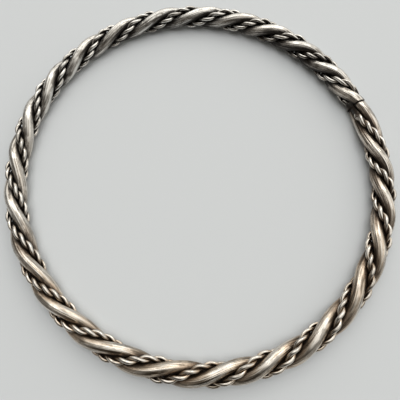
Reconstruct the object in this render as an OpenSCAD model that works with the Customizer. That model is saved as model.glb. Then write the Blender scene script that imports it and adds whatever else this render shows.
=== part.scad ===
// Twisted wire bangle: a closed ring of wire rope, lying flat on its side.
// Two heavy round wires are laid left-handed round each other. In each of the two grooves
// between them lies a pair of fine round wires, twisted right-handed before the rope was laid.
// The rope is bent to a slightly oval ring, its ends are cut square, butted and soldered.
// The origin is the middle of the ring on the surface that it lies on, and +Z is up along
// the ring's axis. Lengths are in millimetres and angles in degrees round from +X.

/* [Ring] */
// Mean width of the wrist opening
opening_d = 65; // [50:0.5:80]
// How much longer the opening is than it is wide
oval = 3.8; // [0:0.1:8]
// Direction of the opening's long way
oval_at = 110; // [0:1:180]

/* [Rope] */
// Diameter of the two heavy wires
heavy_d = 2.05; // [1.5:0.05:3]
// Diameter of the four fine wires
fine_d = 0.65; // [0.4:0.05:1]
// Length of one turn of the rope, along the ring
rope_lay = 17.7; // [15:0.01:26]
// Length of one turn of a fine pair, in thicknesses of the pair, counted along the rope
pair_lay = 2.59; // [2.2:0.01:4]
// Clearance between neighbouring wires
wire_gap = 0.03; // [0.02:0.01:0.06]

/* [Joint] */
// Where the two ends of the rope meet
joint_at = 12.3; // [-180:0.1:180]
// Thickness of the solder between the ends
solder_t = 0.15; // [0.1:0.05:0.5]
// Width of the solder, as a share of the rope's thickness
solder_fill = 0.9; // [0.6:0.05:1]

/* [Hidden] */

// How tightly the rope and its two pairs were twisted by hand, at equal steps from the joint round to
// the joint, as shares of the turns that their lays give
TIGHTNESS = [
    // rope, pair a, pair b
    [1.14, 1.19, 1.00],
    [1.16, 1.13, 0.94],
    [1.19, 1.09, 0.92],
    [0.99, 1.03, 0.96],
    [1.03, 1.01, 0.99],
    [1.00, 0.99, 0.98],
    [0.99, 1.00, 0.98],
    [0.94, 0.99, 0.96],
    [0.79, 0.97, 0.92],
    [0.87, 0.99, 0.94],
    [0.89, 0.98, 1.01],
    [1.01, 0.94, 1.01],
    [1.03, 0.98, 0.99],
    [0.90, 1.00, 1.03],
    [1.00, 1.04, 1.04],
    [1.13, 1.01, 1.08],
    [0.40, 0.87, 0.95],
];
// Columns of the table, and where the pairs stand again in SHARES as they show
ROPE = 0;
PAIRS = [1, 2];
SHOWN = [3, 4];
// Angle round the rope, from straight outwards towards +Z, of the first heavy wire where it starts
heavy_start = 65;
// Angle round its pair, from straight away from the rope's axis, of the first fine wire of each pair
pair_start = [65, 280];
// Sides of each wire, and cross-sections in one of the turns that show
HEAVY_SIDES = 8;
HEAVY_RINGS = 11;
FINE_SIDES = 5;
FINE_RINGS = 5.3;
// Step along the rope over which a wire's direction is measured, as a share of the ring
NUDGE = 0.0001;

// From a wire's centre to the axis that it turns round. The facets of a fine wire cut in towards
// the axis between its cross-sections, so it stands off by the whole clearance
heavy_off = (heavy_d + wire_gap) / 2;
fine_off = fine_d / 2 + wire_gap;
// The ring's centre line, and its length
rope_r = heavy_off + heavy_d / 2;
mid_r = opening_d / 2 + rope_r;
ring_len = 2 * PI * mid_r;
rope_turns = ring_len / rope_lay;
pair_turns = ring_len / (pair_lay * 2 * fine_d);
// The wires stop short of the joint by this angle at each end
end_cut = (solder_t / 2 + wire_gap) / mid_r * 180 / PI;

// The table again, and after it the same for the turns of a pair that show, once the rope's are taken off
SHARES = [for (row = TIGHTNESS) concat(row, [for (what = PAIRS)
    (row[what] * pair_turns - row[ROPE] * rope_turns) / (pair_turns - rope_turns)])];
// Twist laid down from the joint to each step of the table, for each of its columns
LAST = len(SHARES) - 1;
STEP = 1 / LAST;
LAID = [for (what = [0 : 4]) [for (i = 0, sum = 0; i <= LAST;
    sum = sum + STEP * (SHARES[i][what] + SHARES[min(i + 1, LAST)][what]) / 2, i = i + 1) sum]];

function unit(v) = v / norm(v);

// All along the rope, u runs from 0 at one end to 1 at the other
function azimuth(u) = joint_at + end_cut + (360 - 2 * end_cut) * u;
function ring_r(a) = mid_r + oval / 4 * cos(2 * (a - oval_at));
function ring_slope(a) = -oval / 2 * sin(2 * (a - oval_at));
function centre(a) = ring_r(a) * [cos(a), sin(a), 0];
function outward(a) = unit(ring_r(a) * [cos(a), sin(a), 0] - ring_slope(a) * [-sin(a), cos(a), 0]);
function forward(a) = cross([0, 0, 1], outward(a));
function spoke(a, angle) = cos(angle) * outward(a) + sin(angle) * [0, 0, 1];

// Share of its turns that the rope or a pair has laid down by u, how tight it is there, and the u at
// which it has laid down a part of all its turns
function in_row(i) = max(0, min(i, LAST - 1));
function tightness(u, what) = let (i = in_row(floor(u / STEP)), t = u / STEP - i)
    SHARES[i][what] + (SHARES[i + 1][what] - SHARES[i][what]) * t;
function laid(u, what) = let (i = in_row(floor(u / STEP)))
    LAID[what][i] + (u - i * STEP) * (SHARES[i][what] + tightness(u, what)) / 2;
function laid_by(part, what) = let (aim = part * LAID[what][LAST],
    i = in_row(len([for (sum = LAID[what]) if (sum <= aim) sum]) - 1),
    from = SHARES[i][what], rise = SHARES[i + 1][what] - from, left = (aim - LAID[what][i]) / STEP)
    STEP * (i + 2 * left / (from + sqrt(from * from + 2 * rise * left)));
function rope_angle(u) = heavy_start + 360 * rope_turns * laid(u, ROPE);

// Centre of a pair from the rope's axis: its two wires just clear both heavy wires, which lean
// towards it by the slope that they have there
function pair_off(u) = let (slope = heavy_off * rope_turns * tightness(u, ROPE) / (opening_d / 2 + heavy_off),
    reach = heavy_d / 2 + wire_gap + fine_off + fine_d / 2)
    sqrt((reach * reach - heavy_off * heavy_off) / (1 - slope * slope));

// Centre lines: wire is 0 or 1, and pair is 0 or 1
function heavy_path(u, wire) = centre(azimuth(u)) + heavy_off * spoke(azimuth(u), rope_angle(u) + 180 * wire);
function pair_angle(u, pair) = rope_angle(u) + 90 + 180 * pair;
function pair_axis(u, pair) = centre(azimuth(u)) + pair_off(u) * spoke(azimuth(u), pair_angle(u, pair));
function fine_path(u, pair, wire) = let (
    along = unit(pair_axis(u + NUDGE, pair) - pair_axis(u - NUDGE, pair)),
    away = spoke(azimuth(u), pair_angle(u, pair)), side = unit(cross(along, away)),
    angle = pair_start[pair] + 180 * wire + 360 * pair_turns * laid(u, PAIRS[pair]))
    pair_axis(u, pair) + fine_off * (cos(angle) * cross(side, along) + sin(angle) * side);

// Polygon round a centre line, square to it, with a corner towards the axis that the wire turns round
function section(at, along, axis, r, sides) = let (inward = axis - at,
    first = unit(inward - (inward * along) * along), second = cross(along, first))
    [for (j = [0 : sides - 1]) at + r * (cos(360 * j / sides) * first + sin(360 * j / sides) * second)];
// The same, slid along the wire into the plane across the rope at azimuth a
function cut_square(points, along, a) = [for (p = points)
    p - along * (((p - centre(a)) * forward(a)) / (along * forward(a)))];

// Corners of a wire: path and axis are functions of u, its cross-sections lie at equal steps of the
// twist that shows, and its two ends are cut square to the rope
function wire_points(path, axis, r, sides, steps, what) = [for (k = [0 : steps]) let (
    u = laid_by(k / steps, what), along = unit(path(u + NUDGE) - path(u - NUDGE)),
    ring = section(path(u), along, axis(u), r, sides))
    each (k == 0 || k == steps ? cut_square(ring, along, azimuth(u)) : ring)];
// Triangles of a wire: the hand of its twist sets which way each four-sided facet is split
function wire_faces(sides, steps, left) = [
    for (k = [0 : steps - 1], j = [0 : sides - 1]) let (a = k * sides + j, b = k * sides + (j + 1) % sides,
        c = b + sides, d = a + sides) each (left ? [[a, d, c], [a, c, b]] : [[a, d, b], [b, d, c]]),
    [for (j = [0 : sides - 1]) j],
    [for (j = [sides - 1 : -1 : 0]) steps * sides + j]];

// Cross-sections along each wire; the rope's own turn takes one from each turn of a pair
heavy_steps = ceil(rope_turns * HEAVY_RINGS);
fine_steps = ceil((pair_turns - rope_turns) * FINE_RINGS);
function heavy_points(wire) = wire_points(function (u) heavy_path(u, wire), function (u) centre(azimuth(u)),
    heavy_d / 2, HEAVY_SIDES, heavy_steps, ROPE);
function fine_points(pair, wire) = wire_points(function (u) fine_path(u, pair, wire),
    function (u) pair_axis(u, pair), fine_d / 2, FINE_SIDES, fine_steps, SHOWN[pair]);

// The ring lies with its lowest wire on the surface, and the middle of its box over the origin
ALL_POINTS = [for (wire = [0, 1]) each heavy_points(wire),
    for (pair = [0, 1], wire = [0, 1]) each fine_points(pair, wire)];
low = [for (axis = [0 : 2]) min([for (p = ALL_POINTS) p[axis]])];
high = [for (axis = [0 : 2]) max([for (p = ALL_POINTS) p[axis]])];
rest = [-(low.x + high.x) / 2, -(low.y + high.y) / 2, -low.z];

module heavy_wire(wire) {
    color([0.72, 0.69, 0.62]) translate(rest)
        polyhedron(heavy_points(wire), wire_faces(HEAVY_SIDES, heavy_steps, true), convexity = 10);
}

module fine_wire(pair, wire) {
    color([0.82, 0.79, 0.72]) translate(rest)
        polyhedron(fine_points(pair, wire), wire_faces(FINE_SIDES, fine_steps, false), convexity = 10);
}

// Film of solder that joins the two ends of the rope
module solder_joint() {
    color([0.42, 0.38, 0.33]) translate(rest) translate(centre(joint_at))
        multmatrix([for (i = [0 : 2]) [outward(joint_at)[i], i == 2 ? 1 : 0, -forward(joint_at)[i], 0]])
            cylinder(d = 2 * rope_r * solder_fill, h = solder_t, center = true, $fn = 48);
}

heavy_wire(0);  // heavy_wire_a
heavy_wire(1);  // heavy_wire_b
fine_wire(0, 0);  // fine_wire_a1
fine_wire(0, 1);  // fine_wire_a2
fine_wire(1, 0);  // fine_wire_b1
fine_wire(1, 1);  // fine_wire_b2
solder_joint();
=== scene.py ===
"""Twisted wire bangle: round drawn wires, worn and tarnished silver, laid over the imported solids.

Two heavy wires are laid left-handed round each other, and a right-handed pair of fine wires lies in each
groove between them. The wires follow the same rules as the solids that they stand for, and are swept round
and fine enough to carry the lines that the drawing die left, the dents of wear and the filed joint.
"""
import math

import bpy
import numpy as np
from mathutils import Matrix, Vector


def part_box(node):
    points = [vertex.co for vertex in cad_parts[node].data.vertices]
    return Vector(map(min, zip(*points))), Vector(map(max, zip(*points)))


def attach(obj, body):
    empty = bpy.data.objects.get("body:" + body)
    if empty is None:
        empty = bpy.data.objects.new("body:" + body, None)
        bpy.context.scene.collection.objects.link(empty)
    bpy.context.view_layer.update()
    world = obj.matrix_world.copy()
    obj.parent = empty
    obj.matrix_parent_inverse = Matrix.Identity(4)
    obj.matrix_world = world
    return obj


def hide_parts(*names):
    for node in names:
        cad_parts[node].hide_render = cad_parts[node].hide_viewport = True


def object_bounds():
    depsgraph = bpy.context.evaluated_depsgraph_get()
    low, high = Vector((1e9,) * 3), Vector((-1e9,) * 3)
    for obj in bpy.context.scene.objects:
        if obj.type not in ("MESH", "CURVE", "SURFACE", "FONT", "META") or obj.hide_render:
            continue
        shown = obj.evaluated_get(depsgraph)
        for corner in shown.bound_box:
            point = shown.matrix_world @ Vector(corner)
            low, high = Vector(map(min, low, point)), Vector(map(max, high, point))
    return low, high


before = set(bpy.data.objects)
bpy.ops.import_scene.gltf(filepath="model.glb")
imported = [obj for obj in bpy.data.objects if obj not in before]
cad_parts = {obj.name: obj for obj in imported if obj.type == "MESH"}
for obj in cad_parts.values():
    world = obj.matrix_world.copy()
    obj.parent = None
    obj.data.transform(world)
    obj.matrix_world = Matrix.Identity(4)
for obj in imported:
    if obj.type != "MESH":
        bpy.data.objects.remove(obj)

bl_info = {
    "name": "Twisted Wire Bangle",
    "version": (1, 0, 0),
    "blender": (4, 5, 0),
    "location": "3D View > Sidebar > Bangle",
    "description": "Makes a wire rope bangle of worn silver and a small studio to look at it in",
    "category": "Add Mesh",
}

MM = 0.001
UP = np.array([0, 0, 1])
CAD_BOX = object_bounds()
# How tightly the rope and its two pairs were twisted by hand, at equal steps from the joint round to
# the joint, as shares of the turns that their lays give
TIGHTNESS = (
    # rope, pair a, pair b
    (1.14, 1.19, 1.00),
    (1.16, 1.13, 0.94),
    (1.19, 1.09, 0.92),
    (0.99, 1.03, 0.96),
    (1.03, 1.01, 0.99),
    (1.00, 0.99, 0.98),
    (0.99, 1.00, 0.98),
    (0.94, 0.99, 0.96),
    (0.79, 0.97, 0.92),
    (0.87, 0.99, 0.94),
    (0.89, 0.98, 1.01),
    (1.01, 0.94, 1.01),
    (1.03, 0.98, 0.99),
    (0.90, 1.00, 1.03),
    (1.00, 1.04, 1.04),
    (1.13, 1.01, 1.08),
    (0.40, 0.87, 0.95),
)
# Columns of the table
ROPE = 0
PAIRS = (1, 2)
# Name of the map that each piece is unwrapped into
UNWRAP = "OFBake"
# Number of rows that a wire's unwrapped strip is folded into
UNWRAP_ROWS = 6
# Sides of a heavy wire, and its cross-sections in one turn of the rope
HEAVY_SIDES = 64
HEAVY_RINGS = 56
# Sides of a fine wire, and its cross-sections in one of the turns of its pair that show
FINE_SIDES = 16
FINE_RINGS = 20
SOLDER_SIDES = 96
# Seeds for the wear of the wires, which count up from one wire to the next, and for the solder
HEAVY_SEED = 20
FINE_SEED = 40
SOLDER_SEED = 7
# Radius that is worn on the edges of the cut ends
END_EDGE = 0.13 * MM
# Length at each end over which a wire's cross-sections turn square to the rope
CUT_RUN = 2.2 * MM
# Depth of the dents of wear and the usual distance between them, in radii of the wire
DENT_DEPTH = 0.006
DENT_SPACING = 9
# How dark the stain that flux and heat left by the joint is, and how far it reaches, and the same for the
# dirt in the seam
HEAT_STAIN = (0.35, 1.8 * MM)
SEAM_DIRT = (1.2, 0.12 * MM)
# Depth of filing that leaves the metal bright
FILED_BRIGHT = 0.03 * MM
# Distance from the joint over which the painted shade on the side towards the wrist grows from none to full
INSIDE_RUN = 5 * MM
# Step along the rope over which a line's direction is measured, as a share of the ring
NUDGE = 1e-5


class BangleSizes(bpy.types.PropertyGroup):
    opening: bpy.props.FloatProperty(
        name="Opening", description="Mean width of the wrist opening",
        default=65 * MM, unit="LENGTH")
    oval: bpy.props.FloatProperty(
        name="Oval", description="How much longer the opening is than it is wide",
        default=3.8 * MM, unit="LENGTH")
    oval_at: bpy.props.FloatProperty(
        name="Long Way", description="Direction of the opening's long way",
        default=math.radians(110), subtype="ANGLE")
    heavy_wire: bpy.props.FloatProperty(
        name="Heavy Wire", description="Diameter of the two heavy wires",
        default=2.05 * MM, unit="LENGTH")
    fine_wire: bpy.props.FloatProperty(
        name="Fine Wire", description="Diameter of the four fine wires",
        default=0.65 * MM, unit="LENGTH")
    rope_lay: bpy.props.FloatProperty(
        name="Rope Lay", description="Length of one turn of the rope, along the ring",
        default=17.7 * MM, unit="LENGTH")
    pair_lay: bpy.props.FloatProperty(
        name="Pair Lay", description="Length of one turn of a fine pair, along the ring",
        default=3.367 * MM, unit="LENGTH")
    clearance: bpy.props.FloatProperty(
        name="Clearance", description="Clearance between neighbouring solids, which sets where the wires lie",
        default=0.03 * MM, unit="LENGTH")
    joint_at: bpy.props.FloatProperty(
        name="Joint", description="Where the two ends of the rope meet",
        default=math.radians(12.3), subtype="ANGLE")
    solder: bpy.props.FloatProperty(
        name="Solder", description="Thickness of the solder between the ends",
        default=0.15 * MM, unit="LENGTH")
    solder_runs: bpy.props.FloatVectorProperty(
        name="Solder Runs",
        description="How far the solder ran along the grooves, first past the joint and then before it",
        size=2, default=(2.4 * MM, 4.2 * MM), unit="LENGTH")
    heavy_start: bpy.props.FloatProperty(
        name="Rope Start", description="Angle of the first heavy wire round the rope where it starts",
        default=math.radians(65), subtype="ANGLE")
    pair_start: bpy.props.FloatVectorProperty(
        name="Pair Starts", description="Angle of the first wire of each pair where it starts",
        size=2, default=(math.radians(65), math.radians(280)), subtype="EULER")
    filed_length: bpy.props.FloatProperty(
        name="Filed Length", description="How far from the joint the rope was filed",
        default=2.4 * MM, unit="LENGTH")
    filed_depth: bpy.props.FloatProperty(
        name="Filed Depth", description="How deep the file went into the heavy wires at the joint",
        default=0.2 * MM, unit="LENGTH")
    pressed_length: bpy.props.FloatProperty(
        name="Pressed Length", description="How far from the joint the fine pairs were flattened",
        default=4.0 * MM, unit="LENGTH")
    pressed_depth: bpy.props.FloatProperty(
        name="Pressed Depth", description="How far the fine pairs were flattened at the joint",
        default=0.85 * MM, unit="LENGTH")


class BangleFinish(bpy.types.PropertyGroup):
    silver: bpy.props.FloatVectorProperty(
        name="Silver", description="Rubbed silver on the crests",
        size=3, default=(0.76, 0.738, 0.695), min=0, max=1, subtype="COLOR")
    straw: bpy.props.FloatVectorProperty(
        name="Straw Film", description="First thin yellow film on silver that is rubbed less",
        size=3, default=(0.675, 0.575, 0.465), min=0, max=1, subtype="COLOR")
    warm: bpy.props.FloatVectorProperty(
        name="Warm Film", description="Warm brown film of early tarnish",
        size=3, default=(0.33, 0.226, 0.147), min=0, max=1, subtype="COLOR")
    dull: bpy.props.FloatVectorProperty(
        name="Dull Film", description="Grey-brown film where the tarnish has come further",
        size=3, default=(0.14, 0.110, 0.092), min=0, max=1, subtype="COLOR")
    streak: bpy.props.FloatVectorProperty(
        name="Streaks", description="Thin dark lines along the wires, where the die's marks hold dirt",
        size=3, default=(0.105, 0.085, 0.063), min=0, max=1, subtype="COLOR")
    brown: bpy.props.FloatVectorProperty(
        name="Young Tarnish", description="Brown tarnish in the grooves of the stretches that darkened last",
        size=3, default=(0.021, 0.0125, 0.0065), min=0, max=1, subtype="COLOR")
    tarnish: bpy.props.FloatVectorProperty(
        name="Tarnish", description="Brown-black tarnish in the grooves",
        size=3, default=(0.012, 0.0085, 0.006), min=0, max=1, subtype="COLOR")
    polish: bpy.props.FloatProperty(
        name="Polish", description="Roughness of the rubbed silver",
        default=0.075, min=0, max=1, subtype="FACTOR")


class BangleStage(bpy.types.PropertyGroup):
    eye: bpy.props.FloatVectorProperty(
        name="Camera", description="Place of the camera",
        size=3, default=(0.1 * MM, -25.8 * MM, 68.6 * MM), unit="LENGTH")
    lean: bpy.props.FloatProperty(
        name="Lean", description="Angle of the view from straight down",
        default=math.radians(16.7), subtype="ANGLE")
    roll: bpy.props.FloatProperty(
        name="Roll", description="Turn of the camera about its view",
        default=math.radians(-10.1), subtype="ANGLE")
    lens: bpy.props.FloatProperty(
        name="Lens", description="Focal length for a 36 mm sensor, in millimetres",
        default=34.15, min=1)
    floor: bpy.props.FloatVectorProperty(
        name="Floor", description="Colour of the floor",
        size=3, default=(0.57, 0.59, 0.60), min=0, max=1, subtype="COLOR")


def ease(low, high, x):
    """0 up to low, 1 from high, and a smooth rise between."""
    t = np.clip((x - low) / (high - low), 0, 1)
    return t * t * (3 - 2 * t)


def unit(v):
    """Rows of v, each scaled to length 1."""
    return v / np.linalg.norm(v, axis=-1, keepdims=True)


def heading(path, u):
    """Direction in which the line path runs at each u."""
    return unit(path(u + NUDGE) - path(u - NUDGE))


def square_to(along, near):
    """Directions square to along: the one closest to near, and the one that is square to both."""
    first = unit(near - (near * along).sum(1, keepdims=True) * along)
    return first, np.cross(along, first)


def corner_angles(sides):
    """Angles of the corners of an even polygon."""
    return 2 * math.pi * np.arange(sides) / sides


def spokes(turned, first, second):
    """For each row of first and second, the directions at the angles turned from first towards second."""
    return np.cos(turned)[None, :, None] * first[:, None] + np.sin(turned)[None, :, None] * second[:, None]


class Rope:
    """The rope's centre line and its wires, from the share u of the way round from joint to joint."""

    def __init__(self, sizes):
        self.sizes = sizes
        self.heavy_r = sizes.heavy_wire / 2
        self.fine_r = sizes.fine_wire / 2
        self.heavy_off = self.heavy_r + sizes.clearance / 2
        self.rope_r = self.heavy_off + self.heavy_r
        self.mid_r = sizes.opening / 2 + self.rope_r
        self.length = 2 * math.pi * self.mid_r
        self.turns = self.length / sizes.rope_lay
        self.pair_turns = self.length / sizes.pair_lay
        self.end_cut = (sizes.solder / 2 + sizes.clearance) / self.mid_r
        # The two wires of a pair all but touch, in the place that the solids leave for them
        self.fine_off = self.fine_r + 0.1 * sizes.clearance
        # The solids are moved so that the middle of their box lies over the origin
        low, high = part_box("solder_joint")
        self.joint = np.array((low + high) / 2)
        self.shift = self.joint - self.ring(np.array([sizes.joint_at]))[0][0]
        # Twist laid down from the joint to each step of the table, for each of its columns
        self.steps = np.array(TIGHTNESS)
        self.step = 1 / (len(self.steps) - 1)
        between = (self.steps[1:] + self.steps[:-1]) / 2 * self.step
        self.laid_at = np.concatenate([np.zeros((1, 3)), np.cumsum(between, axis=0)])

    def ring(self, azimuth):
        """Centre of the rope, its outward direction and its forward direction at each azimuth."""
        turned = 2 * (azimuth - self.sizes.oval_at)
        radius = self.mid_r + self.sizes.oval / 4 * np.cos(turned)
        slope = -self.sizes.oval / 2 * np.sin(turned)
        flat = np.zeros_like(azimuth)
        spoke = np.stack([np.cos(azimuth), np.sin(azimuth), flat], 1)
        tangent = np.stack([-np.sin(azimuth), np.cos(azimuth), flat], 1)
        outward = unit(radius[:, None] * spoke - slope[:, None] * tangent)
        return radius[:, None] * spoke, outward, np.cross(UP, outward)

    def frame_at(self, u):
        """The same for each share u of the way round, where the bangle lies."""
        azimuth = self.sizes.joint_at + self.end_cut + (2 * math.pi - 2 * self.end_cut) * u
        centre, outward, forward = self.ring(azimuth)
        return centre + self.shift, outward, forward

    def laid(self, u, what):
        """Share of its turns that a column of the table has laid down by u, and how tight it is there."""
        steps = self.steps[:, what]
        row = np.clip(np.floor(u / self.step).astype(int), 0, len(steps) - 2)
        t = u / self.step - row
        rise = steps[row + 1] - steps[row]
        sum_here = self.laid_at[row, what] + self.step * (steps[row] * t + rise * t * t / 2)
        return sum_here, steps[row] + rise * t

    def spoke(self, u, ahead):
        """Centre of the rope, and the direction across it at an angle ahead of the first heavy wire."""
        centre, outward, _ = self.frame_at(u)
        angle = self.sizes.heavy_start + 2 * math.pi * self.turns * self.laid(u, ROPE)[0] + ahead
        return centre, np.cos(angle)[:, None] * outward + np.sin(angle)[:, None] * UP

    def heavy(self, u, wire):
        """Centre line of a heavy wire."""
        centre, side = self.spoke(u, math.pi * wire)
        return centre + self.heavy_off * side

    def pair_off(self, u):
        """How far a pair's axis lies from the rope's axis, where it nests on both heavy wires."""
        lean = self.heavy_off * self.turns * self.laid(u, ROPE)[1] / (self.sizes.opening / 2 + self.heavy_off)
        reach = self.heavy_r + self.sizes.clearance + 2 * self.fine_r
        return np.sqrt((reach ** 2 - self.heavy_off ** 2) / (1 - lean ** 2))

    def pair_axis(self, u, pair):
        """The axis that a pair turns round, and its direction away from the rope's axis."""
        centre, away = self.spoke(u, math.pi * (pair + 0.5))
        return centre + self.pair_off(u)[:, None] * away, away

    def pair_line(self, u, pair):
        """The axis that a pair turns round, by itself."""
        return self.pair_axis(u, pair)[0]

    def fine(self, u, pair, wire):
        """Centre line of a fine wire."""
        axis, away = self.pair_axis(u, pair)
        along = heading(lambda v: self.pair_line(v, pair), u)
        side = unit(np.cross(along, away))
        angle = self.sizes.pair_start[pair] + math.pi * wire
        angle = angle + 2 * math.pi * self.pair_turns * self.laid(u, PAIRS[pair])[0]
        turned = np.cos(angle)[:, None] * np.cross(side, along) + np.sin(angle)[:, None] * side
        return axis + self.fine_off * turned


def relief(turned, along, seed, dent, ridge, spacing):
    """How much of a worn wire is missing: dents dent deep, and ridges from the drawing die along it."""
    draw = np.random.default_rng(seed)
    dents = np.zeros(np.broadcast(turned, along).shape)
    ridges = np.zeros_like(dents)
    # Waves along the wire, in several lengths and with few lobes round it, add up to the dents
    for finer in (0.5, 0.8, 1.3, 2.1, 3.4):
        for lobes in (1, 2, 3):
            dents += draw.normal() * np.sin(
                lobes * turned + 2 * math.pi * (along / (spacing / finer) + draw.random()))
    # The ridges run along the wire and sway a little to each side
    for lobes in (4, 7, 9, 12, 15):
        sway = np.sin(2 * math.pi * (along / (2.3 * spacing) * draw.uniform(0.7, 1.4) + draw.random()))
        ridges += np.sin(lobes * turned + 1.1 * sway + 2 * math.pi * draw.random())
    return dent * np.clip(0.5 + dents / 6, 0, 1) + ridge * np.clip(0.5 + ridges / 5, 0, 1)


def swing(u, middle, reach, peak):
    """A value that swings by reach about middle once round the ring, and is highest at the share peak."""
    return middle + reach * np.cos(2 * math.pi * (u - peak))


def ripple(u, reach, waves, start):
    """A small value that swings by reach about 0, in a number of waves round the ring."""
    return reach * np.sin(2 * math.pi * waves * u + start)


def patch(x, height, width, middle=0):
    """A value that is height in the middle of a patch and falls smoothly to 0 past its width."""
    return height * np.exp(-((x - middle) / width) ** 2)


def age(u):
    """How far the tarnish has come round the ring: least at the bottom right, most towards the top."""
    return np.clip(swing(u, 0.5, 0.5, 0.28) + ripple(u, 0.12, 5, 1) + ripple(u, 0.08, 11, 0), 0, 1)


def yellowing(u):
    """How yellow the film of tarnish is: most at the bottom, and grey at the top."""
    return np.clip(swing(u, 0.55, 0.55, 0.71) + ripple(u, 0.15, 7, 2), 0, 1)


def groove_dark_width(u):
    """How far the darkening near neighbouring wires, tarnish with painted shade added, comes out of the
    grooves:
    furthest at the top left.
    """
    return swing(u, 0.38 * MM, 0.17 * MM, 0.38)


def groove_tarnish_and_shade(u):
    """How dark the grooves are made, tarnish and painted shade together: darkest at the left."""
    return swing(u, 1.15, 0.5, 0.44)


def painted_inside_shade(u):
    """How much painted shade darkens the side towards the wrist: most at the top and in the stretch that
    follows the joint, and less in the stretch before it."""
    round_the_ring = np.clip(swing(u, 0.65, 0.85, 0.17), 0, None)
    return round_the_ring + patch(u, 0.5, 0.04, middle=0.07) - patch(u, 0.6, 0.05, middle=1)


def ring_stations(rings, length):
    """Shares of the way along a wire for its cross-sections, with a few more at its rounded ends."""
    close = np.array([0, 0.15, 0.5, 1.0]) * END_EDGE / length
    middle = np.linspace(0, 1, rings + 1)[1:-1]
    middle = middle[(middle > 1.6 * close[-1]) & (middle < 1 - 1.6 * close[-1])]
    return np.concatenate([close, middle, 1 - close[::-1]])


def nearest(points, u, neighbours):
    """How far rings of points at each u lie from the nearest of some wires."""
    gap = np.full(points.shape[:2], 1.0)
    for line, thick in neighbours:
        gap = np.minimum(gap, np.linalg.norm(points - line(u)[:, None], axis=2) - thick)
    return gap


def file_joint(rope, points, u, length, depth):
    """Files rings of points smooth near the joint. Returns them, how far out they lie and how much went."""
    to_end = np.minimum(u, 1 - u)[:, None] * rope.length
    centre, _, forward = rope.frame_at(u)
    reach = points - centre[:, None]
    reach = reach - (reach * forward[:, None]).sum(2, keepdims=True) * forward[:, None]
    out = np.linalg.norm(reach, axis=2)
    limit = rope.rope_r - depth * ease(length, 0, to_end)
    taken = np.where(to_end < length, np.clip(out - limit, 0, None), 0)
    return points - reach * (taken / np.maximum(out, 1e-9))[..., None], out - taken, taken


def swept_wire(name, rope, path, radius, sides, rings, ridge, filed, neighbours, seed):
    """A round wire along path(u), with cut, rounded and filed ends, as a new mesh object. filed holds how far
    from the joint it was filed and how deep, and neighbours the lines and radii of the wires beside it."""
    u = ring_stations(rings, rope.length)
    at = path(u)
    along = heading(path, u)
    run = np.concatenate([[0], np.cumsum(np.linalg.norm(np.diff(at, axis=0), axis=1))])
    to_end = np.minimum(u, 1 - u) * rope.length
    turned = corner_angles(sides)
    worn = relief(turned[None, :], run[:, None], seed, dent=DENT_DEPTH * radius, ridge=ridge,
                  spacing=DENT_SPACING * radius)
    rounded = END_EDGE * (1 - np.sqrt(1 - (1 - np.clip(to_end / END_EDGE, 0, 1)) ** 2))
    facing = spokes(turned, *square_to(along, UP))
    points = at[:, None] + (radius - rounded[:, None] - worn)[..., None] * facing
    # The ends are cut square to the rope: sections lean into the joint's plane over the last stretch
    centre, outward, forward = rope.frame_at(u)
    past = ((points - centre[:, None]) * forward[:, None]).sum(2) / (along * forward).sum(1)[:, None]
    points = points - (past * ease(CUT_RUN, 0, to_end)[:, None])[..., None] * along[:, None]
    points, out, taken = file_joint(rope, points, u, *filed)
    points = np.clip(points, *CAD_BOX)
    mesh = tube_mesh(name, [(points, run)], UNWRAP_ROWS)
    # Tarnish near the neighbouring wires, with painted shade added where they close in
    crevice = 1 - ease(0, 1, nearest(points, u, neighbours) / groove_dark_width(u)[:, None])
    # Painted shade: the side towards the wrist is darkened by how far it faces inwards
    inside = np.clip(-(facing * outward[:, None]).sum(2), 0, 1)
    stain = patch(to_end, *HEAT_STAIN) + patch(to_end, *SEAM_DIRT)
    put_attributes(
        mesh,
        drawn=np.stack(np.broadcast_arrays(
            radius * np.cos(turned)[None, :], radius * np.sin(turned)[None, :], run[:, None]), 2),
        depth=rope.rope_r - out,
        filed=ease(0, FILED_BRIGHT, taken),
        # Darkening for the material: tarnish with painted shade near the neighbouring wires, the real heat
        # stain and seam dirt, and painted shade on the side towards the wrist
        sheltered=(crevice * groove_tarnish_and_shade(u)[:, None] + stain[:, None]
                   + inside * (painted_inside_shade(u) * ease(0, INSIDE_RUN, to_end))[:, None]),
        aged=np.repeat(age(u), sides),
        yellowed=np.repeat(yellowing(u), sides))
    return add_object(name, mesh)


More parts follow.
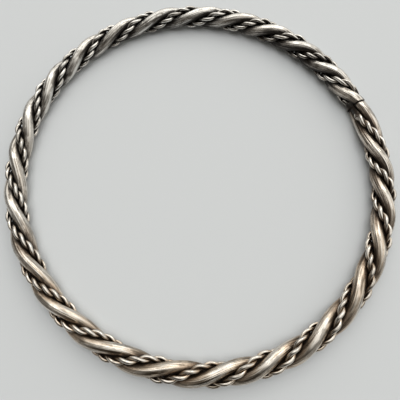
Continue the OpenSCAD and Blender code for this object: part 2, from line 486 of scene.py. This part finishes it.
def tube_mesh(name, tubes, rows):
    """Mesh of tubes with closed ends, smooth along their length. Each is given as its rings of points and
    how far along it each ring lies, and is unwrapped into as many rows of the map as rows says."""
    points, faces, smooth, corners, rim = [], [], [], [], set()
    for number, (tube, run) in enumerate(tubes):
        rings, sides = tube.shape[:2]
        base = sum(len(part) for part in points)
        ring = base + np.arange(rings - 1)[:, None] * sides
        here = np.arange(sides)[None, :]
        after = (here + 1) % sides
        quads = np.stack(np.broadcast_arrays(
            ring + here, ring + after, ring + sides + after, ring + sides + here), 2)
        caps = [[base + j for j in range(sides - 1, -1, -1)],
                [base + (rings - 1) * sides + j for j in range(sides)]]
        points.append(tube.reshape(-1, 3))
        faces += quads.reshape(-1, 4).tolist() + caps
        smooth += [True] * (quads.size // 4) + [False] * 2
        rim |= {tuple(sorted((cap[j], cap[j - 1]))) for cap in caps for j in range(sides)}
        corners.append(unwrap_strip(sides, run, rows, number / len(tubes), 1 / len(tubes)))
    mesh = bpy.data.meshes.new(name)
    mesh.from_pydata(np.concatenate(points).tolist(), [], faces)
    mesh.polygons.foreach_set("use_smooth", smooth)
    sharp = mesh.attributes.new("sharp_edge", "BOOLEAN", "EDGE")
    sharp.data.foreach_set("value", [tuple(sorted(e.vertices)) in rim for e in mesh.edges])
    layer = mesh.uv_layers.new(name=UNWRAP)
    layer.uv.foreach_set("vector", np.concatenate(corners).astype(np.float32).ravel())
    mesh.validate()
    return mesh


def unwrap_strip(sides, run, rows, bottom, tall):
    """Unwraps a tube as one long strip, cut and folded into rows that fill a band of the square map."""
    margin = 0.02
    share = run / run[-1] * (rows - 1e-6)
    row = np.minimum(np.floor((share[1:] + share[:-1]) / 2).astype(int), rows - 1)
    start = np.clip(share[:-1] - row, 0, 1)
    end = np.clip(share[1:] - row, 0, 1)
    across = np.arange(sides) / sides
    band = (1 - margin) / rows
    v_low = (row[:, None] + margin) / rows + across[None, :] * (band - margin / rows)
    v_high = v_low + (band - margin / rows) / sides
    u_start = np.broadcast_to(margin + (1 - 2 * margin) * start[:, None], v_low.shape)
    u_end = np.broadcast_to(margin + (1 - 2 * margin) * end[:, None], v_low.shape)
    corners = np.stack([
        np.stack([u_start, v_low], 2), np.stack([u_start, v_high], 2),
        np.stack([u_end, v_high], 2), np.stack([u_end, v_low], 2)], 2).reshape(-1, 2)
    turned = corner_angles(sides)
    disc = 0.4 * margin * np.stack([np.cos(turned), np.sin(turned)], 1)
    caps = np.concatenate([disc[::-1] + 0.5 * margin, disc + [1 - 0.5 * margin, 0.5 * margin]])
    return np.concatenate([corners, caps]) * [1, tall] + [0, bottom]


def put_attributes(mesh, **layers):
    """Stores a number or a vector for each vertex, under names that materials can read."""
    for name, values in layers.items():
        values = np.asarray(values, np.float32).ravel()
        if len(values) == 3 * len(mesh.vertices):
            mesh.attributes.new(name, "FLOAT_VECTOR", "POINT").data.foreach_set("vector", values)
        else:
            mesh.attributes.new(name, "FLOAT", "POINT").data.foreach_set("value", values)


def add_object(name, data):
    """A new object in the scene."""
    made = bpy.data.objects.new(name, data)
    bpy.context.scene.collection.objects.link(made)
    return made


class Nodes:
    """Shorthand for building a node tree. A value is a number or a socket, and sockets are linked."""

    def __init__(self, tree):
        self.tree = tree

    def add(self, kind, inputs=None, **settings):
        """A new node of that kind, with its settings made and its inputs filled."""
        node = self.tree.nodes.new(kind)
        for key, value in settings.items():
            setattr(node, key, value)
        for key, value in (inputs or {}).items():
            if isinstance(value, bpy.types.NodeSocket):
                self.tree.links.new(value, node.inputs[key])
            else:
                node.inputs[key].default_value = value
        return node

    def math(self, operation, *values):
        """One sum on values, such as ADD or MULTIPLY."""
        return self.add("ShaderNodeMath", dict(enumerate(values)), operation=operation).outputs[0]

    def total(self, first, *others):
        """All the values added up."""
        for value in others:
            first = self.math("ADD", first, value)
        return first

    def span(self, value, low, high, to_low=0.0, to_high=1.0):
        """Maps value smoothly from one range to another."""
        return self.add("ShaderNodeMapRange", {
            "Value": value, "From Min": low, "From Max": high, "To Min": to_low, "To Max": to_high},
            interpolation_type="SMOOTHSTEP").outputs["Result"]

    def mix(self, factor, a, b):
        """Goes from a to b, each a plain colour or a socket, as the socket factor goes from 0 to 1."""
        # The node's sockets for colours go by number, because those for other kinds have the same names
        node = self.add("ShaderNodeMix", {0: factor}, data_type="RGBA")
        for socket, colour in ((node.inputs[6], a), (node.inputs[7], b)):
            if isinstance(colour, bpy.types.NodeSocket):
                self.tree.links.new(colour, socket)
            else:
                socket.default_value = (*colour, 1.0)
        return node.outputs[2]

    def noise(self, vector, across, along, detail=2.0, roughness=0.5):
        """Cloudy noise with so many waves in a millimetre across the wire and along it."""
        stretched = self.add("ShaderNodeVectorMath", {
            0: vector, 1: (across / MM, across / MM, along / MM)}, operation="MULTIPLY").outputs[0]
        return self.add("ShaderNodeTexNoise", {
            "Vector": stretched, "Scale": 1.0, "Detail": detail, "Roughness": roughness}).outputs["Fac"]

    def stored(self, name, output="Fac"):
        """What put_attributes stored under that name."""
        return self.add("ShaderNodeAttribute", attribute_name=name).outputs[output]


def cleared(data):
    """Gives a new material or world an empty node tree."""
    data.use_nodes = True
    data.node_tree.nodes.clear()
    return Nodes(data.node_tree)


def new_group(name, inputs, outputs):
    """A shader node group with named sockets. Returns its nodes, what it is given and what it puts out."""
    tree = bpy.data.node_groups.new(name, "ShaderNodeTree")
    for label, kind, default in inputs:
        socket = tree.interface.new_socket(label, in_out="INPUT", socket_type=kind)
        if default is not None:
            socket.default_value = default
    for label in outputs:
        tree.interface.new_socket(label, in_out="OUTPUT", socket_type="NodeSocketFloat")
    given, out = tree.nodes.new("NodeGroupInput"), tree.nodes.new("NodeGroupOutput")
    return Nodes(tree), given.outputs, out.inputs


def die_lines_group():
    """Lines that the drawing die left along a wire: a height for the bump and a mask of thin dark lines."""
    name = "Die Lines"
    if name in bpy.data.node_groups:
        return bpy.data.node_groups[name]
    n, given, out = new_group(
        name,
        [("Drawn", "NodeSocketVector", None), ("Fineness", "NodeSocketFloat", 1.0)],
        ["Height", "Streaks"])
    scaled = n.add("ShaderNodeVectorMath", {0: given["Drawn"], "Scale": given["Fineness"]},
                   operation="SCALE").outputs[0]
    broad = n.noise(scaled, across=2.6, along=0.05, detail=2.0, roughness=0.55)
    fine = n.noise(scaled, across=9.0, along=0.14, detail=3.0, roughness=0.6)
    height = n.total(n.math("MULTIPLY", broad, 0.82), n.math("MULTIPLY", fine, 0.18))
    # A thin line runs wherever a drawn-out noise crosses its middle, and shows in patches
    layers = []
    for across, along, low, high in ((1.3, 0.035, 0.44, 0.56), (2.7, 0.08, 0.50, 0.66)):
        crossing = n.math("ABSOLUTE", n.math("SUBTRACT", n.noise(scaled, across, along, detail=1.0), 0.5))
        shown = n.span(n.noise(scaled, 0.7 * across, 0.3 * across), low, high)
        layers.append(n.math("MULTIPLY", n.span(crossing, 0.11, 0.02), shown))
    n.tree.links.new(height, out["Height"])
    n.tree.links.new(n.math("MAXIMUM", *layers), out["Streaks"])
    return n.tree


def wear_group():
    """Tarnish that deepens into the grooves in patches, deepened further by painted shade that one input
    brings, and the small marks of wear. Starts and Full are the depths below the crests, in millimetres, at
    which even tarnish would start and be at its darkest."""
    name = "Tarnish And Wear"
    if name in bpy.data.node_groups:
        return bpy.data.node_groups[name]
    n, given, out = new_group(
        name,
        [("Drawn", "NodeSocketVector", None), ("Depth", "NodeSocketFloat", 0.0),
         ("Stain And Shade", "NodeSocketFloat", 0.0), ("Aged", "NodeSocketFloat", 0.5),
         ("Lines", "NodeSocketFloat", 0.5), ("Starts", "NodeSocketFloat", 0.25),
         ("Full", "NodeSocketFloat", 0.9), ("Patchy", "NodeSocketFloat", 0.3)],
        ["Film", "Tarnish", "Marks"])
    cloud = n.noise(given["Drawn"], across=1.4, along=0.16, detail=4.0, roughness=0.6)
    specks = n.noise(given["Drawn"], across=5.0, along=1.2, detail=4.0, roughness=0.65)
    pits = n.noise(given["Drawn"], across=7.0, along=5.0)
    # All that darkens or brightens the metal counts as so many millimetres more or less of depth
    clouded = n.math("MULTIPLY", n.math("MULTIPLY", n.math("SUBTRACT", cloud, 0.5), given["Patchy"]), 2.0)
    grain = n.math("MULTIPLY", n.math("SUBTRACT", specks, 0.5), n.math("MULTIPLY", given["Patchy"], 1.5))
    # Where the tarnish is oldest, its edge is worn back a little
    worn_back = n.math("MULTIPLY", n.math("SUBTRACT", given["Aged"], 0.5), -0.16)
    # This input deepens the tarnish with real stains and with painted shade in the crevices and on the side
    # towards the wrist
    sheltered = n.math("MULTIPLY", given["Stain And Shade"], 0.45)
    in_lines = n.math("MULTIPLY", n.math("SUBTRACT", 0.5, given["Lines"]), 1.1)
    deep = n.total(n.math("DIVIDE", given["Depth"], MM), worn_back, clouded, grain, sheltered, in_lines)
    film = n.span(n.total(deep, clouded), n.math("SUBTRACT", given["Starts"], 0.55), given["Full"])
    n.tree.links.new(film, out["Film"])
    n.tree.links.new(n.span(deep, given["Starts"], given["Full"]), out["Tarnish"])
    n.tree.links.new(n.span(pits, 0.62, 0.74), out["Marks"])
    return n.tree


def silver_material(name, finish, fineness, starts, full, patchy, line_height, polish):
    """Worn silver for one kind of wire: rubbed on the crests, filmed lower down, black in the grooves, with
    painted shade added in the grooves and on the side towards the wrist.
    """
    material = bpy.data.materials.new(name)
    n = cleared(material)
    drawn, aged, yellowed = n.stored("drawn", "Vector"), n.stored("aged"), n.stored("yellowed")
    lines = n.add("ShaderNodeGroup", {
        "Drawn": drawn, "Fineness": fineness}, node_tree=die_lines_group()).outputs
    wear = n.add("ShaderNodeGroup", {
        "Drawn": drawn, "Depth": n.stored("depth"), "Stain And Shade": n.stored("sheltered"), "Aged": aged,
        "Lines": lines["Height"], "Starts": starts, "Full": full, "Patchy": patchy},
        node_tree=wear_group()).outputs
    # The film is thinner where the rope was filed, and where it is grey with age
    film = n.math("MULTIPLY", wear["Film"], n.span(aged, 0.3, 1.0, 0.9, 0.3))
    film = n.math("MULTIPLY", film, n.math("SUBTRACT", 1.0, n.math("MULTIPLY", n.stored("filed"), 0.6)))
    first_film = n.math("MULTIPLY", n.span(film, 0.0, 0.35, 0.3, 1.0), yellowed)
    base = n.mix(n.span(film, 0.1, 1.0), n.mix(first_film, finish.silver, finish.straw),
                 n.mix(yellowed, finish.dull, finish.warm))
    streaks = n.math("MULTIPLY", lines["Streaks"], n.span(wear["Film"], 0.0, 1.0, 0.5, 0.85))
    base = n.mix(streaks, base, finish.streak)
    # The tarnish colours also paint the shade that comes in with the stains, in the crevices and on the side
    # towards the wrist
    dark = n.mix(n.span(aged, 0.2, 0.65), finish.brown, finish.tarnish)
    base = n.mix(n.math("MULTIPLY", wear["Tarnish"], 0.985), base, dark)
    rough = n.total(polish, n.math("MULTIPLY", film, 0.10), n.math("MULTIPLY", wear["Tarnish"], 0.3))
    metal = n.math("SUBTRACT", 1.0, n.math("MULTIPLY", wear["Tarnish"], 0.5))
    height = n.math("MULTIPLY", lines["Height"], n.span(aged, 0.0, 1.0, 0.75, 0.9))
    ridges = n.add("ShaderNodeBump", {
        "Strength": 1.0, "Distance": line_height, "Height": height}).outputs[0]
    marks = n.add("ShaderNodeBump", {
        "Strength": 0.5, "Distance": 0.002 * MM, "Height": wear["Marks"], "Normal": ridges},
        invert=True).outputs[0]
    shader = n.add("ShaderNodeBsdfPrincipled", {
        "Base Color": base, "Metallic": metal, "Roughness": rough, "Normal": marks})
    n.add("ShaderNodeOutputMaterial", {"Surface": shader.outputs[0]})
    return material


class BANGLE_OT_heavy_wires(bpy.types.Operator):
    """Sweep the two heavy wires of the rope and finish them"""
    bl_idname = "bangle.heavy_wires"
    bl_label = "Heavy Wires"

    def execute(self, context):
        rope = Rope(context.scene.bangle_sizes)
        finish = context.scene.bangle_finish
        material = silver_material("heavy_silver", finish, fineness=1.0, starts=0.36, full=0.90, patchy=0.34,
                                   line_height=0.20 * MM, polish=finish.polish)
        for wire, letter in enumerate("ab"):
            piece = swept_wire("rope_wire_" + letter, rope, lambda u: rope.heavy(u, wire), rope.heavy_r,
                               sides=HEAVY_SIDES, rings=round(rope.turns * HEAVY_RINGS), ridge=0.025 * MM,
                               filed=(rope.sizes.filed_length, rope.sizes.filed_depth),
                               neighbours=[(lambda u: rope.pair_line(u, 0), 2 * rope.fine_r),
                                           (lambda u: rope.pair_line(u, 1), 2 * rope.fine_r)],
                               seed=HEAVY_SEED + wire)
            piece.data.materials.append(material)
            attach(piece, "root")
            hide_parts("heavy_wire_" + letter)
        return {"FINISHED"}


class BANGLE_OT_fine_pairs(bpy.types.Operator):
    """Sweep the two twisted pairs of fine wire and finish them"""
    bl_idname = "bangle.fine_pairs"
    bl_label = "Fine Pairs"

    def execute(self, context):
        rope = Rope(context.scene.bangle_sizes)
        finish = context.scene.bangle_finish
        material = silver_material("fine_silver", finish, fineness=1.6, starts=0.64, full=0.90, patchy=0.25,
                                   line_height=0.015 * MM, polish=finish.polish)
        for pair, letter in enumerate("ab"):
            for wire in (0, 1):
                piece = swept_wire(f"pair_wire_{letter}{wire + 1}", rope, lambda u: rope.fine(u, pair, wire),
                                   rope.fine_r, sides=FINE_SIDES,
                                   rings=round((rope.pair_turns - rope.turns) * FINE_RINGS), ridge=0.003 * MM,
                                   filed=(rope.sizes.pressed_length, rope.sizes.pressed_depth),
                                   neighbours=[(lambda u: rope.heavy(u, 0), rope.heavy_r),
                                               (lambda u: rope.heavy(u, 1), rope.heavy_r),
                                               (lambda u: rope.fine(u, pair, 1 - wire), rope.fine_r)],
                                   seed=FINE_SEED + 2 * pair + wire)
                piece.data.materials.append(material)
                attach(piece, "root")
                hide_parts(f"fine_wire_{letter}{wire + 1}")
        return {"FINISHED"}


def rope_outline(rope, u, turned):
    """How far the rope reaches from its axis at each angle round it, where it is cut."""
    centre, outward, _ = rope.frame_at(np.array([u]))
    reach = np.zeros_like(turned)
    wires = [(rope.heavy, (0,), rope.heavy_r), (rope.heavy, (1,), rope.heavy_r)]
    wires += [(rope.fine, (pair, wire), rope.fine_r) for pair in (0, 1) for wire in (0, 1)]
    for path, which, radius in wires:
        at = path(np.array([u]), *which)[0] - centre[0]
        x, y = at @ outward[0], at @ UP
        along = x * np.cos(turned) + y * np.sin(turned)
        off = radius ** 2 - (x * x + y * y - along ** 2)
        reach = np.maximum(reach, np.where(off > 0, along + np.sqrt(np.maximum(off, 0)), 0))
    return reach


def solder_plug(rope):
    """Rings of the solder between the two ends of the rope, a little inside the outline of the wires, and how
    deep their points lie."""
    sizes = rope.sizes
    turned = corner_angles(SOLDER_SIDES)
    outline = np.minimum(rope_outline(rope, 0.0, turned), rope_outline(rope, 1.0, turned))
    outline = np.clip(outline, 0.55 * rope.rope_r, rope.rope_r - sizes.filed_depth)
    # Its edge is a little uneven, and lies about 0.12 mm below the wires
    outline = outline - 0.12 * MM * (1 + 0.4 * np.sin(3 * turned) * np.sin(7 * turned + 1))
    _, outward, forward = rope.ring(np.array([sizes.joint_at]))
    facing = spokes(turned, outward, UP[None])[0]
    half = sizes.solder / 2 + sizes.clearance
    # Shares of the way to its two faces, and how much smaller it is there
    rings = [rope.joint + share * half * forward[0] + (outline - smaller * MM)[:, None] * facing
             for share, smaller in ((-1, 0.04), (-0.6, 0.015), (0, 0), (0.6, 0.015), (1, 0.04))]
    return np.array(rings)[:, ::-1], np.tile(rope.rope_r - outline[::-1], (len(rings), 1))


def solder_run(rope, pair, end, length, draw):
    """Rings of the solder that ran along a groove from the joint and drowned the fine pair in it, and how
    deep their points lie. end is 0 past the joint and 1 before it."""
    part = np.linspace(0, 1, 40) ** 1.2
    u = part * length / rope.length if end == 0 else 1 - part * length / rope.length
    axis, away = rope.pair_axis(u, pair)
    along = heading(lambda v: rope.pair_line(v, pair), u)
    turned = corner_angles(SOLDER_SIDES)
    # It just covers the pair, gets thinner along its run and ends in a round nose
    thick = 2.04 * rope.fine_r * (1 - 0.4 * part ** 2) * np.sqrt(np.clip((1 - part) / 0.12, 0.02, 1))
    waves = sum(0.03 * np.sin(lobes * turned[None, :] + 2 * math.pi * (part[:, None] * lobes + draw.random()))
                for lobes in (1, 2, 3, 4))
    reach = thick[:, None] * (1 + waves)
    points = axis[:, None] + reach[..., None] * spokes(turned, *square_to(along, away))
    if end == 1:
        points, u = points[::-1], u[::-1]
    points, out, _ = file_joint(rope, points, u, rope.sizes.pressed_length, rope.sizes.pressed_depth)
    return points, rope.rope_r - out


class BANGLE_OT_solder(bpy.types.Operator):
    """Fill the butt joint with solder that follows the wires and ran a little way along the grooves"""
    bl_idname = "bangle.solder"
    bl_label = "Solder"

    def execute(self, context):
        rope = Rope(context.scene.bangle_sizes)
        finish = context.scene.bangle_finish
        draw = np.random.default_rng(SOLDER_SEED)
        parts = [solder_plug(rope)]
        for pair in (0, 1):
            for end, length in enumerate(rope.sizes.solder_runs):
                parts.append(solder_run(rope, pair, end, length, draw))
        tubes = [(points, np.linspace(0, 1, len(points))) for points, _ in parts]
        mesh = tube_mesh("joint_solder", tubes, 1)
        points = np.concatenate([rings.reshape(-1, 3) for rings, _ in parts])
        in_plug = parts[0][1].size
        put_attributes(
            mesh,
            drawn=points - rope.joint,
            depth=np.concatenate([depth.ravel() for _, depth in parts]),
            filed=np.zeros(len(points)),
            sheltered=np.repeat([1.0, 0.2], [in_plug, len(points) - in_plug]),
            aged=np.full(len(points), 0.35),
            yellowed=np.full(len(points), 0.3))
        piece = add_object("joint_solder", mesh)
        piece.data.materials.append(silver_material(
            "solder", finish, fineness=2.0, starts=0.15, full=0.75, patchy=0.3,
            line_height=0.004 * MM, polish=0.3))
        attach(piece, "root")
        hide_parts("solder_joint")
        return {"FINISHED"}


def floor_material(colour):
    """The floor's plain matt finish."""
    material = bpy.data.materials.new("stage_floor")
    n = cleared(material)
    shader = n.add("ShaderNodeBsdfPrincipled", {"Base Color": (*colour, 1.0), "Roughness": 0.85})
    n.add("ShaderNodeOutputMaterial", {"Surface": shader.outputs[0]})
    return material


def dish_mesh(name, flat_r, rim_r, height):
    """A round floor that curves up to a low wall all round."""
    sides, steps = 96, 16
    turned = corner_angles(sides)
    lift = np.linspace(0, math.pi / 2, steps)
    radii = np.concatenate([[0.25 * flat_r, flat_r], flat_r + (rim_r - flat_r) * np.sin(lift[1:])])
    heights = np.concatenate([[0, 0], height * (1 - np.cos(lift[1:]))])
    points = np.stack([
        radii[:, None] * np.cos(turned), radii[:, None] * np.sin(turned),
        np.broadcast_to(heights[:, None], (len(radii), sides))], 2)
    faces = [list(range(sides))]
    for k in range(len(radii) - 1):
        for j in range(sides):
            a, b = k * sides + j, k * sides + (j + 1) % sides
            faces.append([a, a + sides, b + sides, b])
    mesh = bpy.data.meshes.new(name)
    mesh.from_pydata(points.reshape(-1, 3).tolist(), [], faces)
    mesh.polygons.foreach_set("use_smooth", [True] * len(mesh.polygons))
    return mesh


def direction(azimuth, height):
    """Unit vector towards an azimuth and a height above the horizon, in degrees."""
    azimuth, height = math.radians(azimuth), math.radians(height)
    flat = math.cos(height)
    return Vector((flat * math.cos(azimuth), flat * math.sin(azimuth), math.sin(height)))


def studio_world():
    """Soft surroundings: bright above and on the side of the key light, brown and dim on the other, with a
    faint glow low down at the left and at the front right. A glow spreads from the cosine where it starts
    to the one where it is full."""
    world = bpy.data.worlds.new("studio")
    n = cleared(world)
    towards = n.add("ShaderNodeTexCoord").outputs["Generated"]

    def nearness(azimuth, height):
        """Cosine of the angle from that direction."""
        return n.add("ShaderNodeVectorMath", {
            0: towards, 1: direction(azimuth, height)}, operation="DOT_PRODUCT").outputs["Value"]

    level = n.add("ShaderNodeSeparateXYZ", {0: towards}).outputs["Z"]
    glow = n.math("MULTIPLY", n.span(nearness(50, 35), 0.16, 0.72), n.span(level, -0.05, 0.4, 0.6, 1.0))
    glow = n.total(glow, n.span(nearness(188, 22), 0.65, 0.97, 0.0, 0.14),
                   n.span(nearness(300, 12), 0.78, 0.97, 0.0, 0.28))
    colour = n.mix(glow, (0.052, 0.043, 0.033), (1.20, 1.18, 1.13))
    # Seen directly, past the floor's edge, the surroundings are a plain pale wall
    seen = n.add("ShaderNodeLightPath").outputs["Is Camera Ray"]
    colour = n.mix(seen, colour, (0.60, 0.61, 0.62))
    background = n.add("ShaderNodeBackground", {"Color": colour, "Strength": 1.0})
    n.add("ShaderNodeOutputWorld", {"Surface": background.outputs[0]})
    return world


def soft_box(name, azimuth, height, distance, size, radiance, colour):
    """A rectangular soft light of even brightness that faces the middle of the bangle."""
    lamp = bpy.data.lights.new(name, "AREA")
    lamp.shape = "RECTANGLE"
    lamp.size, lamp.size_y = size
    lamp.energy = radiance * math.pi * size[0] * size[1]
    lamp.color = colour
    box = add_object(name, lamp)
    box.location = distance * direction(azimuth, height)
    box.rotation_euler = (-box.location).to_track_quat("-Z", "Y").to_euler()
    return box


class BANGLE_OT_stage(bpy.types.Operator):
    """Set up the pale floor, the soft lights and the camera"""
    bl_idname = "bangle.stage"
    bl_label = "Stage"

    def execute(self, context):
        scene = context.scene
        stage = scene.bangle_stage
        floor = add_object("stage_floor", dish_mesh("stage_floor", flat_r=0.9, rim_r=0.95, height=0.01))
        floor.data.materials.append(floor_material(stage.floor))
        soft_box("key_light", azimuth=52, height=46, distance=0.42, size=(0.17, 0.15), radiance=1.75,
                 colour=(1.0, 0.975, 0.93))
        soft_box("back_light", azimuth=98, height=52, distance=0.42, size=(0.16, 0.09), radiance=1.5,
                 colour=(1.0, 0.99, 0.97))
        # The fill lights the floor and the grooves, and the wires don't mirror it
        fill = soft_box("floor_fill", azimuth=0, height=89, distance=0.6, size=(0.5, 0.5), radiance=2.0,
                        colour=(1.0, 1.0, 1.0))
        fill.visible_glossy = False
        scene.world = studio_world()
        scene.view_settings.view_transform = "Standard"
        lens = bpy.data.cameras.new("camera")
        lens.lens = stage.lens
        lens.sensor_width = 36
        lens.clip_start = 0.001
        camera = add_object("camera", lens)
        camera.matrix_world = (Matrix.Translation(stage.eye) @ Matrix.Rotation(stage.lean, 4, "X")
                               @ Matrix.Rotation(stage.roll, 4, "Z"))
        scene.camera = camera
        return {"FINISHED"}


class BANGLE_PT_workshop(bpy.types.Panel):
    bl_idname = "BANGLE_PT_workshop"
    bl_label = "Wire Bangle"
    bl_space_type = "VIEW_3D"
    bl_region_type = "UI"
    bl_category = "Bangle"

    def draw(self, context):
        layout = self.layout
        for operator in OPERATORS:
            layout.operator(operator.bl_idname)
        for group in (context.scene.bangle_sizes, context.scene.bangle_finish, context.scene.bangle_stage):
            column = layout.column()
            for prop in group.bl_rna.properties:
                if prop.identifier not in {"rna_type", "name"}:
                    column.prop(group, prop.identifier)


GROUPS = {"bangle_sizes": BangleSizes, "bangle_finish": BangleFinish, "bangle_stage": BangleStage}
OPERATORS = (BANGLE_OT_stage, BANGLE_OT_heavy_wires, BANGLE_OT_fine_pairs, BANGLE_OT_solder)


def register():
    for made in (*GROUPS.values(), *OPERATORS, BANGLE_PT_workshop):
        bpy.utils.register_class(made)
    for name, group in GROUPS.items():
        setattr(bpy.types.Scene, name, bpy.props.PointerProperty(type=group))


def unregister():
    for name in GROUPS:
        delattr(bpy.types.Scene, name)
    for made in (BANGLE_PT_workshop, *reversed(OPERATORS), *reversed(GROUPS.values())):
        bpy.utils.unregister_class(made)


def main():
    register()
    bpy.ops.bangle.stage()
    bpy.ops.bangle.heavy_wires()
    bpy.ops.bangle.fine_pairs()
    bpy.ops.bangle.solder()


if __name__ == "__main__":
    main()
